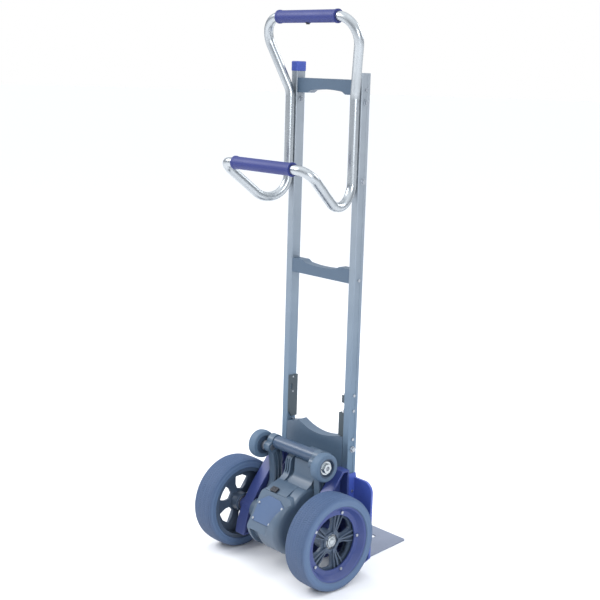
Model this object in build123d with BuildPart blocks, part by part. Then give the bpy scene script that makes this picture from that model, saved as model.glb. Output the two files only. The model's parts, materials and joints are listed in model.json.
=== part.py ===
from build123d import *
import math
import os

os.makedirs("parts", exist_ok=True)

# Driving dimensions, in millimetres. X runs across the truck, +Y points to the load, +Z up.
wheel_radius = 130.0
wheel_width = 75.0
wheel_mid_x = 195.2
toe_tip_reach = 398.0  # from the axle to the front edge of the toe plate

axle_y = -(toe_tip_reach - wheel_radius) / 2
axle_z = wheel_radius
axle_radius = 10.0
running_gap = 0.05  # radial clearance of every running fit
axle_line = Axis((0, axle_y, axle_z), (1, 0, 0))

upright_x = 125.5
upright_width = 23.0
upright_depth = 31.6
upright_back = axle_y + 113.2
upright_front = upright_back + upright_depth
upright_mid_y = upright_back + upright_depth / 2
upright_bottom = 22.0
upright_top = 1351.0
upright_wall = 2.2
inner_face_x = upright_x - upright_width / 2
outer_face_x = upright_x + upright_width / 2

tube_radius = 12.5
tube_bore = 10.5
tube_leg_y = upright_back - tube_radius
upper_grip_y = axle_y + 44.0
upper_grip_z = 1490.0
upper_corner_x = 195.0
upper_bend_z = 1297.0
lower_grip_y = axle_y - 96.0
lower_grip_z = 1110.0
lower_corner_x = 173.0
lower_bend_z = 944.4
grip_radius = 16.5

screw_heights = (1308.0, 810.0, 371.0)
frame_bolt_height = 343.0
rivet_heights = (494.0, 451.0)
clamp_heights = (1276.0, 1072.0)
bracket_bolt_heights = (axle_z - 50, axle_z + 60)
toe_bolt_heights = (36.0, 62.0)
screw_y = upright_mid_y + 0.5

roller_radius = 40.0
roller_width = 27.6
roller_mid_x = 129.8
roller_reach_y = 32.1  # roller centre, seen from the axle
roller_reach_z = 179.6
roller_y = axle_y + roller_reach_y
roller_z = axle_z + roller_reach_z
roller_line = Axis((0, roller_y, roller_z), (1, 0, 0))

arm_inner_x = 82.0
arm_outer_x = 104.0
sleeve_radius = 16.0
cross_tube_radius = 18.0
cross_tube_bore = 14.5
cross_tube_reach = (50.0, 192.3)  # the cross tube's centre, seen from the axle

case_radius = 83.0
case_left_x = -56.0
case_right_x = 76.0
case_wall = 4.0
case_split_x = 20.0
lobe_reach = (40.0, 30.0)  # raised drum at the right end, its centre seen from the axle
lobe_radius = 72.0
lobe_start_x = 22.0
flat_direction = 151.0  # direction of the sloping cover's normal, seen from the axle
flat_distance = 60.0

gear_module = 1.5
gear_teeth = 66
pinion_teeth = 18
pinion_direction = 75.0
gear_start_x = 56.0
gear_width = 8.0
gear_centres = gear_module * (gear_teeth + pinion_teeth) / 2
pinion_y = axle_y + gear_centres * math.cos(math.radians(pinion_direction))
pinion_z = axle_z + gear_centres * math.sin(math.radians(pinion_direction))

sides = (("left", -1), ("right", 1))


def across(x, y=axle_y, z=axle_z):
    """Plane square to the axle at x: its own x is +Y and its own y is +Z."""
    return Plane(origin=(x, y, z), x_dir=(0, 1, 0), z_dir=(1, 0, 0))


def turning(y=axle_y, z=axle_z):
    """Plane through a line along X: its own x is +X and its own y is the radius."""
    return Plane(origin=(0, y, z), x_dir=(1, 0, 0), z_dir=(0, -1, 0))


def polar(radius, degrees):
    angle = math.radians(degrees)
    return (radius * math.cos(angle), radius * math.sin(angle))


def mirrored(piece):
    with BuildPart() as other:
        mirror(piece.part, about=Plane.YZ)
    return other


def on_side(piece, side_sign):
    """The piece is drawn for the right side and mirrored for the left one."""
    return piece if side_sign > 0 else mirrored(piece)


def write(piece, label):
    piece.part.label = label
    export_step(piece.part, f"parts/{label}.step")


# Uprights

def upright(side_sign):
    with BuildPart() as post:
        with BuildSketch(Plane.XY.offset(upright_bottom)):
            with Locations((upright_x, upright_mid_y)):
                RectangleRounded(upright_width, upright_depth, 3)
                RectangleRounded(
                    upright_width - 2 * upright_wall, upright_depth - 2 * upright_wall, 1,
                    mode=Mode.SUBTRACT,
                )
            with Locations((outer_face_x, upright_mid_y)):
                Rectangle(1.6, 10.4, mode=Mode.SUBTRACT)
        extrude(amount=upright_top - upright_bottom)
        cross_holes = [(height, 2.6) for height in screw_heights + rivet_heights]
        cross_holes += [(frame_bolt_height, 4.1)]
        cross_holes += [(height, 4.1) for height in clamp_heights]
        for height, radius in cross_holes:
            with BuildSketch(across(inner_face_x - 1, screw_y, height)):
                Circle(radius)
            extrude(amount=upright_width + 2, mode=Mode.SUBTRACT)
        for height in clamp_heights:
            with BuildSketch(Plane.XZ.offset(-(upright_back - 1))):
                with Locations((upright_x, height)):
                    Circle(4.1)
            extrude(amount=-(upright_wall + 2), mode=Mode.SUBTRACT)
        for height in bracket_bolt_heights:
            with BuildSketch(Plane.XZ.offset(-(upright_back - 1))):
                with Locations((upright_x, height)):
                    Circle(3.1)
            extrude(amount=-(upright_wall + 2), mode=Mode.SUBTRACT)
        for height in toe_bolt_heights:
            with BuildSketch(Plane.XZ.offset(-(upright_front + 1))):
                with Locations((upright_x, height)):
                    Circle(3.1)
            extrude(amount=upright_wall + 2, mode=Mode.SUBTRACT)
    return on_side(post, side_sign)



for side, sign in sides:
    write(upright(sign), f"{side}_upright")

with BuildPart() as left_end_cap:
    with BuildSketch(Plane.XY.offset(upright_top)):
        with Locations((-upright_x, upright_mid_y)):
            RectangleRounded(upright_width + 2.4, upright_depth + 2.4, 4)
    extrude(amount=26)
    fillet(left_end_cap.faces().sort_by(Axis.Z)[-1].edges(), 3)
    with BuildSketch(Plane.XY.offset(upright_top)):
        with Locations((-upright_x, upright_mid_y)):
            RectangleRounded(upright_width - 2 * upright_wall, upright_depth - 2 * upright_wall, 1)
    extrude(amount=-18)
write(left_end_cap, "left_end_cap")


# Crossbars

def crossbar(straight_z, flip, y_start=upright_back + 2, depth=27.0):
    """Cast bar between the uprights: one straight edge, the other an arch with two end pads.

    flip is -1 where the straight edge is on top, and 1 where it is at the bottom.
    """
    half = inner_face_x
    rise_pad, rise_step, rise_crown = 39.0, 32.0, 28.0
    wall = 4.0
    with BuildPart() as bar:
        with BuildSketch(Plane.XZ.offset(-y_start)):
            with BuildLine():
                Polyline(
                    (-61, straight_z + flip * rise_step), (-73, straight_z + flip * rise_pad),
                    (-half, straight_z + flip * rise_pad), (-half, straight_z), (half, straight_z),
                    (half, straight_z + flip * rise_pad), (73, straight_z + flip * rise_pad),
                    (61, straight_z + flip * rise_step),
                )
                ThreePointArc(
                    (61, straight_z + flip * rise_step), (0, straight_z + flip * rise_crown),
                    (-61, straight_z + flip * rise_step),
                )
            make_face()
        extrude(amount=-depth)
        fillet(bar.edges().filter_by(Axis.Y).group_by(Axis.X)[1], 3)
        with BuildSketch(Plane.XZ.offset(-(y_start + wall))):
            with Locations((0, straight_z + flip * 14)):
                RectangleRounded(2 * (half - 20), 20, 4)
        extrude(amount=-depth, mode=Mode.SUBTRACT)
        for end in (-1, 1):
            screw_z = straight_z + flip * (25.0 if flip < 0 else 10.0)
            with BuildSketch(across(end * half, screw_y, screw_z)):
                Circle(2.6)
            extrude(amount=-end * 14, mode=Mode.SUBTRACT)
    return bar


write(crossbar(1333.0, -1), "top_crossbar")
write(crossbar(800.0, 1), "middle_crossbar")

with BuildPart() as lower_crossmember:
    casting_half = inner_face_x
    with BuildSketch(Plane.XZ.offset(-upright_back)):
        with BuildLine():
            Line((-casting_half, 262), (-casting_half, 367))
            Line((-casting_half, 367), (-76, 376))
            Line((-76, 376), (-67, 382))
            ThreePointArc((-67, 382), (0, 362), (67, 367))
            Line((67, 367), (95, 373))
            Line((95, 373), (casting_half, 373))
            Line((casting_half, 373), (casting_half, 262))
            Line((casting_half, 262), (78, 250))
            Line((78, 250), (-78, 250))
            Line((-78, 250), (-casting_half, 262))
        make_face()
    extrude(amount=-upright_depth)
    with BuildSketch(Plane.XZ.offset(-(upright_back + 6))):
        with Locations((0, 304)):
            RectangleRounded(2 * casting_half - 44, 84, 8)
    extrude(amount=-upright_depth, mode=Mode.SUBTRACT)
    for end in (-1, 1):
        for height, radius in ((screw_heights[2], 2.6), (frame_bolt_height, 4.1)):
            with BuildSketch(across(end * casting_half, screw_y, height)):
                Circle(radius)
            extrude(amount=-end * 15, mode=Mode.SUBTRACT)
write(lower_crossmember, "lower_crossmember")


# Handle loop and grips

def handle_half():
    """Right half of the loop, from the middle of the upper grip to the middle of the lower one."""
    points = [
        (0, upper_grip_y, upper_grip_z),
        (upper_corner_x, upper_grip_y, upper_grip_z),
        (upright_x, tube_leg_y, upper_bend_z),
        (upright_x, tube_leg_y, lower_bend_z),
        (lower_corner_x, lower_grip_y, lower_grip_z),
        (0, lower_grip_y, lower_grip_z),
    ]
    return FilletPolyline(*points, radius=[58, 62, 59.5, 33])


def ring_along_handle(outer, inner):
    with BuildPart() as loop:
        with BuildLine() as route:
            handle_half()
        with BuildSketch(Plane(origin=(0, upper_grip_y, upper_grip_z), z_dir=(1, 0, 0))):
            Circle(outer)
            Circle(inner, mode=Mode.SUBTRACT)
        sweep(path=route.wire())
        mirror(about=Plane.YZ)
    return loop


button_radius = 5.0
button_well_radius = 7.0
button_well_top = 4.0  # height of the well's closed end above the grip's centre line

handle = ring_along_handle(tube_radius, tube_bore)
with BuildPart() as handle_tube:
    add(handle.part)
    with BuildSketch(Plane.XY.offset(upper_grip_z - tube_radius - 2)):
        with Locations((0, upper_grip_y)):
            Circle(button_well_radius)
    extrude(amount=tube_radius, mode=Mode.SUBTRACT)
    for end in (-1, 1):
        for height in clamp_heights:
            with BuildSketch(Plane.XZ.offset(-(upright_back - 5))):
                with Locations((end * upright_x, height)):
                    Circle(4.1)
            extrude(amount=-8, mode=Mode.SUBTRACT)
write(handle_tube, "handle_tube")


def grip(centre_y, centre_z, half_length):
    with BuildPart() as sleeve:
        with BuildSketch(turning(centre_y, centre_z)):
            with BuildLine():
                Polyline(
                    (-half_length, tube_radius), (-half_length, grip_radius + 1.5),
                    (-half_length + 5, grip_radius + 1.5), (-half_length + 9, grip_radius),
                    (half_length - 9, grip_radius), (half_length - 5, grip_radius + 1.5),
                    (half_length, grip_radius + 1.5), (half_length, tube_radius), close=True,
                )
            make_face()
        revolve(axis=Axis((0, centre_y, centre_z), (1, 0, 0)))
    return sleeve


upper_sleeve = grip(upper_grip_y, upper_grip_z, 113)
with BuildPart() as upper_grip:
    add(upper_sleeve.part)
    with BuildSketch(Plane.XY.offset(upper_grip_z - grip_radius - 2)):
        with Locations((0, upper_grip_y)):
            Circle(button_well_radius)
    extrude(amount=grip_radius, mode=Mode.SUBTRACT)
write(upper_grip, "upper_grip")
write(grip(lower_grip_y, lower_grip_z, 114), "lower_grip")

# Push button: a cup pressed into the grip from below, the button and its return spring.
button_travel = 3.0
button_face_z = upper_grip_z - grip_radius - 4
button_head_z = upper_grip_z - 8.5
well_roof_z = upper_grip_z + button_well_top
with BuildPart() as button_housing:
    with BuildSketch(turning(upper_grip_y, 0)):
        with BuildLine():
            Polyline(
                (button_radius + running_gap, upper_grip_z - grip_radius - 1),
                (button_well_radius, upper_grip_z - grip_radius - 1),
                (button_well_radius, well_roof_z), (0, well_roof_z), (0, well_roof_z - 1.5),
                (button_radius + running_gap, well_roof_z - 1.5), close=True,
            )
        make_face()
    revolve(axis=Axis((0, upper_grip_y, 0), (0, 0, 1)))
write(button_housing, "button_housing")

with BuildPart() as control_button:
    with BuildSketch(Plane.XY.offset(button_face_z)):
        with Locations((0, upper_grip_y)):
            Circle(button_radius)
    extrude(amount=button_head_z - button_face_z)
    fillet(control_button.edges().group_by(Axis.Z)[0], 1.2)
write(control_button, "control_button")

spring_height = well_roof_z - 1.5 - button_head_z - 1.0
with BuildPart() as button_spring:
    with BuildLine(Plane(origin=(0, upper_grip_y, button_head_z + 0.5))) as coil:
        Helix(pitch=spring_height / 4, height=spring_height, radius=3.4)
    with BuildSketch(Plane(coil.line @ 0, z_dir=coil.line % 0)):
        Circle(0.4)
    sweep(path=coil.line, is_frenet=True)
write(button_spring, "button_spring")

# Handle clamps and frame fasteners

with BuildPart() as clamp_blocks:
    for end in (-1, 1):
        for height in clamp_heights:
            with BuildSketch(Plane.XY.offset(height - 12)):
                with Locations((end * upright_x, upright_mid_y)):
                    RectangleRounded(
                        upright_width - 2 * upright_wall, upright_depth - 2 * upright_wall, 1
                    )
            extrude(amount=24)
            with BuildSketch(Plane.XZ.offset(-(upright_back - 5))):
                with Locations((end * upright_x, height)):
                    Circle(4)
            extrude(amount=-10)
            with BuildSketch(across(inner_face_x - 1 if end > 0 else -outer_face_x - 1, screw_y, height)):
                Circle(4)
            extrude(amount=upright_width + 2, mode=Mode.SUBTRACT)
write(clamp_blocks, "clamp_blocks")


def cross_bolts(heights, head_radius, head_height, shank_radius, length, hexagon, washer=0.0):
    """Fasteners that enter the outer face of each upright along X."""
    with BuildPart() as group:
        for end in (-1, 1):
            for height in heights:
                seat = end * (outer_face_x - 0.8)
                if washer:
                    with BuildSketch(across(seat, screw_y, height)):
                        Circle(min(washer, 4.4))
                    extrude(amount=end * 0.8)
                    with BuildSketch(across(end * outer_face_x, screw_y, height)):
                        Circle(washer)
                    extrude(amount=end * 1.5)
                head_start = end * (outer_face_x + 1.5) if washer else seat
                with BuildSketch(across(head_start, screw_y, height)):
                    if hexagon:
                        RegularPolygon(head_radius, 6)
                    else:
                        Circle(head_radius)
                extrude(amount=end * head_height)
                with BuildSketch(across(head_start, screw_y, height)):
                    Circle(shank_radius)
                extrude(amount=-end * length)
    return group


write(cross_bolts(clamp_heights + (frame_bolt_height,), 7.0, 5.3, 4.0, 34.0, True, 8.5), "hex_bolts")
write(cross_bolts(screw_heights, 4.2, 2.6, 2.5, 32.0, False), "frame_screws")
write(cross_bolts(rivet_heights, 4.0, 1.8, 2.5, upright_width + 2.2, False), "bracket_rivets")

with BuildPart() as hex_nuts:
    for end in (-1, 1):
        for height in clamp_heights:
            with BuildSketch(across(end * inner_face_x, screw_y, height)):
                Circle(8.5)
                Circle(4, mode=Mode.SUBTRACT)
            extrude(amount=-end * 1.5)
            with BuildSketch(across(end * (inner_face_x - 1.5), screw_y, height)):
                RegularPolygon(7, 6)
                Circle(4, mode=Mode.SUBTRACT)
            extrude(amount=-end * 6.5)
write(hex_nuts, "hex_nuts")

# Battery guides

rail_plate_x = inner_face_x - 3.0
with BuildPart() as battery_hook:
    with BuildSketch(across(rail_plate_x, 0, 0)):
        with Locations((screw_y - 2, 483)):
            Rectangle(22, 28)
    extrude(amount=3)
    with BuildSketch(Plane.XY.offset(469)):
        with BuildLine():
            Polyline(
                (rail_plate_x, upright_back + 6), (rail_plate_x - 11, upright_back + 6),
                (rail_plate_x - 14, upright_back + 9), (rail_plate_x - 14, upright_back + 12),
                (rail_plate_x, upright_back + 12), close=True,
            )
        make_face()
    extrude(amount=20)
    with BuildSketch(across(rail_plate_x - 1, screw_y, rivet_heights[0])):
        Circle(2.6)
    extrude(amount=5, mode=Mode.SUBTRACT)
write(battery_hook, "battery_hook")

with BuildPart() as right_battery_rail:
    with BuildSketch(across(rail_plate_x, 0, 0)):
        with BuildLine():
            Polyline(
                (upright_back + 2, 375), (upright_front - 2, 375), (upright_front - 2, 462),
                (upright_back + 8, 462), (upright_back + 2, 450), close=True,
            )
        make_face()
    extrude(amount=3)
    with BuildSketch(Plane.XY.offset(375)):
        with Locations((rail_plate_x - 10, upright_back + 7)):
            Rectangle(20, 4)
    extrude(amount=65)
    with BuildSketch(Plane.XY.offset(375)):
        with Locations((rail_plate_x - 18.5, upright_back + 12)):
            Rectangle(3, 10)
    extrude(amount=65)
    with BuildSketch(across(rail_plate_x - 1, screw_y, rivet_heights[1])):
        Circle(2.6)
    extrude(amount=5, mode=Mode.SUBTRACT)
write(right_battery_rail, "right_battery_rail")

with BuildPart() as left_battery_rail:
    with BuildSketch(across(-inner_face_x, 0, 0)):
        with BuildLine():
            Polyline(
                (upright_back + 12, 378), (upright_front + 2, 378), (upright_front + 2, 500),
                (upright_back, 500), (upright_back, 396), close=True,
            )
        make_face()
    extrude(amount=3)
    with BuildSketch(across(-inner_face_x - 1, 0, 0)):
        with Locations((upright_back + 10, 467)):
            SlotOverall(15, 6, rotation=90)
    extrude(amount=6, mode=Mode.SUBTRACT)
    for height in rivet_heights:
        with BuildSketch(across(-inner_face_x - 1, screw_y, height)):
            Circle(2.6)
        extrude(amount=6, mode=Mode.SUBTRACT)
write(left_battery_rail, "left_battery_rail")

# Guards

guard_bottom = 22.0
guard_top = 262.0
guard_edge_x = 208.0
guard_plate_y = upright_front - 7.0
guard_leg_thickness = 5.0
guard_screw_heights = (60.0, 225.0)


def guard(side_sign):
    with BuildPart() as moulding:
        with BuildSketch(Plane.XZ.offset(-guard_plate_y)):
            with BuildLine():
                Line((outer_face_x, guard_bottom), (guard_edge_x - 25, guard_bottom))
                Line((guard_edge_x - 25, guard_bottom), (guard_edge_x, guard_bottom + 25))
                Line((guard_edge_x, guard_bottom + 25), (guard_edge_x, guard_top - 30))
                RadiusArc((guard_edge_x, guard_top - 30), (guard_edge_x - 30, guard_top), -30)
                Line((guard_edge_x - 30, guard_top), (outer_face_x, guard_top))
                Line((outer_face_x, guard_top), (outer_face_x, guard_bottom))
            make_face()
        extrude(amount=-7)
        with BuildSketch(Plane.XZ.offset(-(guard_plate_y + 3.5))):
            with BuildLine():
                Polyline(
                    (outer_face_x + 9, guard_bottom + 4), (guard_edge_x - 27, guard_bottom + 4),
                    (guard_edge_x - 4, guard_bottom + 27), (guard_edge_x - 4, guard_top - 34),
                    (guard_edge_x - 14, guard_top - 12), (guard_edge_x - 36, guard_top - 4),
                    (outer_face_x + 9, guard_top - 4), close=True,
                )
            make_face()
        extrude(amount=-7, mode=Mode.SUBTRACT)
        with BuildSketch(Plane.XZ.offset(-upright_back)):
            with BuildLine():
                Polyline(
                    (outer_face_x, guard_bottom), (outer_face_x + guard_leg_thickness, guard_bottom),
                    (outer_face_x + guard_leg_thickness, guard_top), (outer_face_x + 1.5, guard_top + 13),
                    (outer_face_x, guard_top + 13), close=True,
                )
            make_face()
        extrude(amount=-upright_depth)
        for height in guard_screw_heights:
            with BuildSketch(across(outer_face_x - 1, screw_y, height)):
                Circle(2.2)
            extrude(amount=guard_leg_thickness + 2, mode=Mode.SUBTRACT)
    return on_side(moulding, side_sign)


for side, sign in sides:
    write(guard(sign), f"{side}_guard")

with BuildPart() as guard_screws:
    for end in (-1, 1):
        for height in guard_screw_heights:
            with BuildSketch(across(end * (outer_face_x + guard_leg_thickness), screw_y, height)):
                Circle(4)
            extrude(amount=end * 2)
            with BuildSketch(across(end * (outer_face_x + guard_leg_thickness), screw_y, height)):
                Circle(2.1)
            extrude(amount=-end * (guard_leg_thickness + 0.8))
write(guard_screws, "guard_screws")

# Toe plate

toe_thickness = 4.0
toe_heel_y = upright_front
toe_tip_y = axle_y + toe_tip_reach
toe_heel_half = 137.0
toe_tip_half = 104.0
toe_slot_y = axle_y + 337.0

with BuildPart() as toe_plate:
    with BuildSketch():
        with BuildLine():
            Polyline(
                (-toe_heel_half, toe_heel_y), (toe_heel_half, toe_heel_y), (toe_tip_half, toe_tip_y),
                (-toe_tip_half, toe_tip_y), close=True,
            )
        make_face()
    extrude(amount=toe_thickness)
    fillet(toe_plate.edges().filter_by(Axis.Z).group_by(Axis.Y)[-1], 6)
    with BuildSketch(Plane.XZ.offset(-toe_heel_y)):
        with Locations((0, 40)):
            Rectangle(2 * toe_heel_half, 80)
    extrude(amount=-toe_thickness)
    heel_corner = toe_plate.edges().filter_by(Axis.X).group_by(Axis.Z)[1].sort_by(Axis.Y)[0]
    fillet(heel_corner, 5)
    with BuildSketch():
        with Locations((0, toe_slot_y)):
            SlotOverall(74, 26)
    extrude(amount=toe_thickness, mode=Mode.SUBTRACT)
    for end in (-1, 1):
        for height in toe_bolt_heights:
            with BuildSketch(Plane.XZ.offset(-(toe_heel_y - 1))):
                with Locations((end * upright_x, height)):
                    Circle(3.1)
            extrude(amount=-6, mode=Mode.SUBTRACT)
write(toe_plate, "toe_plate")

with BuildPart() as toe_plate_bolts:
    for end in (-1, 1):
        for height in toe_bolt_heights:
            with BuildSketch(Plane.XZ.offset(-(toe_heel_y + toe_thickness))):
                with Locations((end * upright_x, height)):
                    RegularPolygon(5.8, 6)
            extrude(amount=-4)
            with BuildSketch(Plane.XZ.offset(-(toe_heel_y + toe_thickness))):
                with Locations((end * upright_x, height)):
                    Circle(3)
            extrude(amount=toe_thickness + upright_wall + 3)
write(toe_plate_bolts, "toe_plate_bolts")

# Axle and its brackets

bracket_inner_x = 108.0
bracket_outer_x = 146.0
bracket_front = upright_back - axle_y  # from the axle to the uprights
hub_start_x = wheel_mid_x - 32.0


def bracket_outline(inset):
    """Side view of the bracket: a curved rear edge from low behind the axle up to the upright."""
    front = bracket_front - (inset and inset + 1)
    with BuildSketch(Plane.XY, mode=Mode.PRIVATE) as view:
        with BuildLine():
            Line((front, -72 + inset), (-44 + inset * 1.6, -72 + inset))
            Spline(
                (-44 + inset * 1.6, -72 + inset), (-14 + inset * 1.2, 20), (49 + inset, 109 - inset / 2),
                (88 + inset, 160 - inset),
            )
            Line((88 + inset, 160 - inset), (front, 160 - inset))
            Line((front, 160 - inset), (front, -72 + inset))
        make_face()
    return view.sketch


def axle_bracket(side_sign):
    """Casting from the back of the upright to the axle, with ribbed pockets on its inner face."""
    rib_directions = (20, 48, 76, 250, 280, 310)
    with BuildPart() as casting:
        with BuildSketch(across(bracket_inner_x)):
            add(bracket_outline(0))
        extrude(amount=bracket_outer_x - bracket_inner_x)
        with BuildSketch(across(bracket_inner_x + 10)):
            add(bracket_outline(5))
        extrude(amount=bracket_outer_x, mode=Mode.SUBTRACT)
        with BuildSketch(across(bracket_inner_x)):
            add(bracket_outline(5))
            Circle(27, mode=Mode.SUBTRACT)
            for direction in rib_directions:
                with Locations(Location(polar(90, direction), direction)):
                    Rectangle(140, 4, mode=Mode.SUBTRACT)
        extrude(amount=6, mode=Mode.SUBTRACT)
        with BuildSketch(across(bracket_inner_x)):
            Circle(24)
        extrude(amount=bracket_outer_x - bracket_inner_x)
        with BuildSketch(across(bracket_outer_x)):
            Circle(16)
        extrude(amount=hub_start_x - 0.5 - bracket_outer_x)
        with BuildSketch(across(bracket_inner_x - 1)):
            Circle(axle_radius)
        extrude(amount=80, mode=Mode.SUBTRACT)
        for height in bracket_bolt_heights:
            with BuildSketch(Plane.XZ.offset(-(upright_back - 20))):
                with Locations((upright_x, height)):
                    Circle(3.1)
            extrude(amount=-25, mode=Mode.SUBTRACT)
    return on_side(casting, side_sign)


for side, sign in sides:
    write(axle_bracket(sign), f"{side}_axle_bracket")

with BuildPart() as axle_bracket_bolts:
    for end in (-1, 1):
        for height in bracket_bolt_heights:
            with BuildSketch(Plane.XZ.offset(-(upright_back - 6))):
                with Locations((end * upright_x, height)):
                    RegularPolygon(5.8, 6)
            extrude(amount=4)
            with BuildSketch(Plane.XZ.offset(-(upright_back - 6))):
                with Locations((end * upright_x, height)):
                    Circle(3)
            extrude(amount=-(6 + upright_wall + 4))
write(axle_bracket_bolts, "axle_bracket_bolts")

axle_half_length = 202.0
with BuildPart() as main_axle:
    with BuildSketch(across(-axle_half_length)):
        Circle(axle_radius)
    extrude(amount=2 * axle_half_length)
    chamfer(main_axle.edges().filter_by(GeomType.CIRCLE), 1)
write(main_axle, "main_axle")

# Drive housing: a drum with a sloping flat for the cover and a raised drum at its right end

recess_start_x = -40.0
recess_width = 36.0
recess_radius = 72.0
recess_top = -20.0  # the recess lies below this height, seen from the axle
bush_radius = 20.0
motor_radius = 22.0
motor_cover_radius = motor_radius + case_wall
motor_cover_start_x = -42.0


def drum(radius, start_x, end_x, left_round, right_round, centre=(0.0, 0.0)):
    with BuildPart() as body:
        with BuildSketch(across(start_x)):
            with Locations(centre):
                Circle(radius)
        extrude(amount=end_x - start_x)
        rims = body.edges().filter_by(GeomType.CIRCLE).sort_by(Axis.X)
        fillet(rims[-1], right_round)
        if left_round:
            fillet(body.edges().filter_by(GeomType.CIRCLE).sort_by(Axis.X)[0], left_round)
    return body


def flat_area(inset):
    """Everything left of the slanting crease, drawn on the flat: x across, y up the slope."""
    crease_foot = (11 + inset, -90)
    crease_top = (79 + inset, 60)
    with BuildSketch(Plane.XY, mode=Mode.PRIVATE) as view:
        with BuildLine():
            Polyline(
                (case_left_x - 20, -90), crease_foot, crease_top, (crease_top[0], 110),
                (case_left_x - 20, 110), close=True,
            )
        make_face()
    return view.sketch


def on_flat(distance):
    """Plane on the sloping flat: its own x is +X and its normal points away from the axle."""
    away = polar(1.0, flat_direction)
    return Plane(
        origin=(0, axle_y + distance * away[0], axle_z + distance * away[1]),
        x_dir=(1, 0, 0), z_dir=(0, away[0], away[1]),
    )


def housing_solid(inset):
    """Outer form of the housing, or with an inset the space inside its walls."""
    with BuildPart() as form:
        add(drum(case_radius - inset, case_left_x + inset, case_right_x - inset, 8 - inset, 22 - inset).part)
        add(
            drum(
                lobe_radius - inset, lobe_start_x + inset, case_right_x - inset, 0, 8 - inset,
                centre=lobe_reach,
            ).part
        )
        with BuildSketch(across(motor_cover_start_x + inset, pinion_y, pinion_z)):
            Circle(motor_cover_radius - inset)
        extrude(amount=lobe_start_x + 10 - motor_cover_start_x)
        with BuildSketch(across(recess_start_x - inset)):
            Circle(case_radius + 5)
            Circle(recess_radius - inset, mode=Mode.SUBTRACT)
            with Locations((0, recess_top + inset + case_radius)):
                Rectangle(2.4 * case_radius, 2 * case_radius, mode=Mode.SUBTRACT)
        extrude(amount=recess_width + 2 * inset, mode=Mode.SUBTRACT)
        with BuildSketch(on_flat(flat_distance - inset)):
            add(flat_area(inset))
        extrude(amount=60, mode=Mode.SUBTRACT)
    return form


def cover_outline(shrink=0.0):
    """Six-sided outline of the sloping cover, drawn on the flat: x across, y up the slope."""
    with BuildSketch(Plane.XY, mode=Mode.PRIVATE) as view:
        with BuildLine():
            Polyline(
                (-47 + shrink, -32 + shrink), (32 - shrink, -32 + shrink), (57 - 1.2 * shrink, 28),
                (30, 45 - shrink), (-16, 48 - shrink), (-47 + shrink, 26 - shrink / 2), close=True,
            )
        make_face()
        fillet(view.vertices(), 3)
    return view.sketch


cover_screw_places = ((-41, -26), (26, -26), (49, 26), (-41, 20))

housing = housing_solid(0)
cavity = housing_solid(case_wall)
with BuildPart() as whole_case:
    add(housing.part)
    add(cavity.part, mode=Mode.SUBTRACT)
    with BuildSketch(across(case_left_x - 1)):
        Circle(bush_radius)
    extrude(amount=case_right_x - case_left_x + 2, mode=Mode.SUBTRACT)
    with BuildSketch(on_flat(flat_distance)):
        add(cover_outline(9))
    extrude(amount=-case_wall - 2, mode=Mode.SUBTRACT)
    with BuildSketch(on_flat(flat_distance)):
        with Locations(*cover_screw_places):
            Circle(2.1)
    extrude(amount=-case_wall - 2, mode=Mode.SUBTRACT)

for side, keep in (("left", Keep.TOP), ("right", Keep.BOTTOM)):
    with BuildPart() as gear_case:
        add(whole_case.part)
        split(bisect_by=Plane(origin=(case_split_x, 0, 0), z_dir=(-1, 0, 0)), keep=keep)
    write(gear_case, f"gear_case_{side}")

with BuildPart() as drive_cover:
    with BuildSketch(on_flat(flat_distance)):
        add(cover_outline())
    extrude(amount=3)
    chamfer(drive_cover.faces().filter_by(on_flat(0)).sort_by(Axis.Y)[0].edges(), 0.8)
    with BuildSketch(on_flat(flat_distance)):
        with Locations(*cover_screw_places):
            Circle(2.1)
    extrude(amount=4, mode=Mode.SUBTRACT)
write(drive_cover, "drive_cover")

with BuildPart() as cover_screws:
    with BuildSketch(on_flat(flat_distance + 3)):
        with Locations(*cover_screw_places):
            Circle(3.6)
    extrude(amount=2)
    with BuildSketch(on_flat(flat_distance + 3)):
        with Locations(*cover_screw_places):
            Circle(2)
    extrude(amount=-8)
write(cover_screws, "cover_screws")

with BuildPart() as sleeve_bushes:
    for start_x in (case_left_x, case_right_x - 6):
        with BuildSketch(across(start_x)):
            Circle(bush_radius)
            Circle(sleeve_radius + running_gap, mode=Mode.SUBTRACT)
        extrude(amount=6)
write(sleeve_bushes, "sleeve_bushes")

# Motor with its bore for the pinion shaft

motor_start_x = -38.0
motor_end_x = 44.0
pinion_shaft_radius = 4.0
with BuildPart() as motor:
    with BuildSketch(across(motor_start_x, pinion_y, pinion_z)):
        Circle(motor_radius - 0.2)
    extrude(amount=motor_end_x - motor_start_x)
    with BuildSketch(across(motor_end_x, pinion_y, pinion_z)):
        Circle(10)
    extrude(amount=5)
    with BuildSketch(across(motor_end_x + 5, pinion_y, pinion_z)):
        Circle(pinion_shaft_radius + running_gap)
    extrude(amount=-24, mode=Mode.SUBTRACT)
write(motor, "motor")

# Neck: ribbed casting from the housing up to the back of the lower crossmember

neck_rib_start_x = -44.0
neck_slot_start_x = -22.0
neck_face_start_x = -8.0
neck_end_x = 72.0
neck_wall = 6.0
foot_rear = (-26.0, 77.5)
foot_crest = (-4.0, 91.0)


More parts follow.
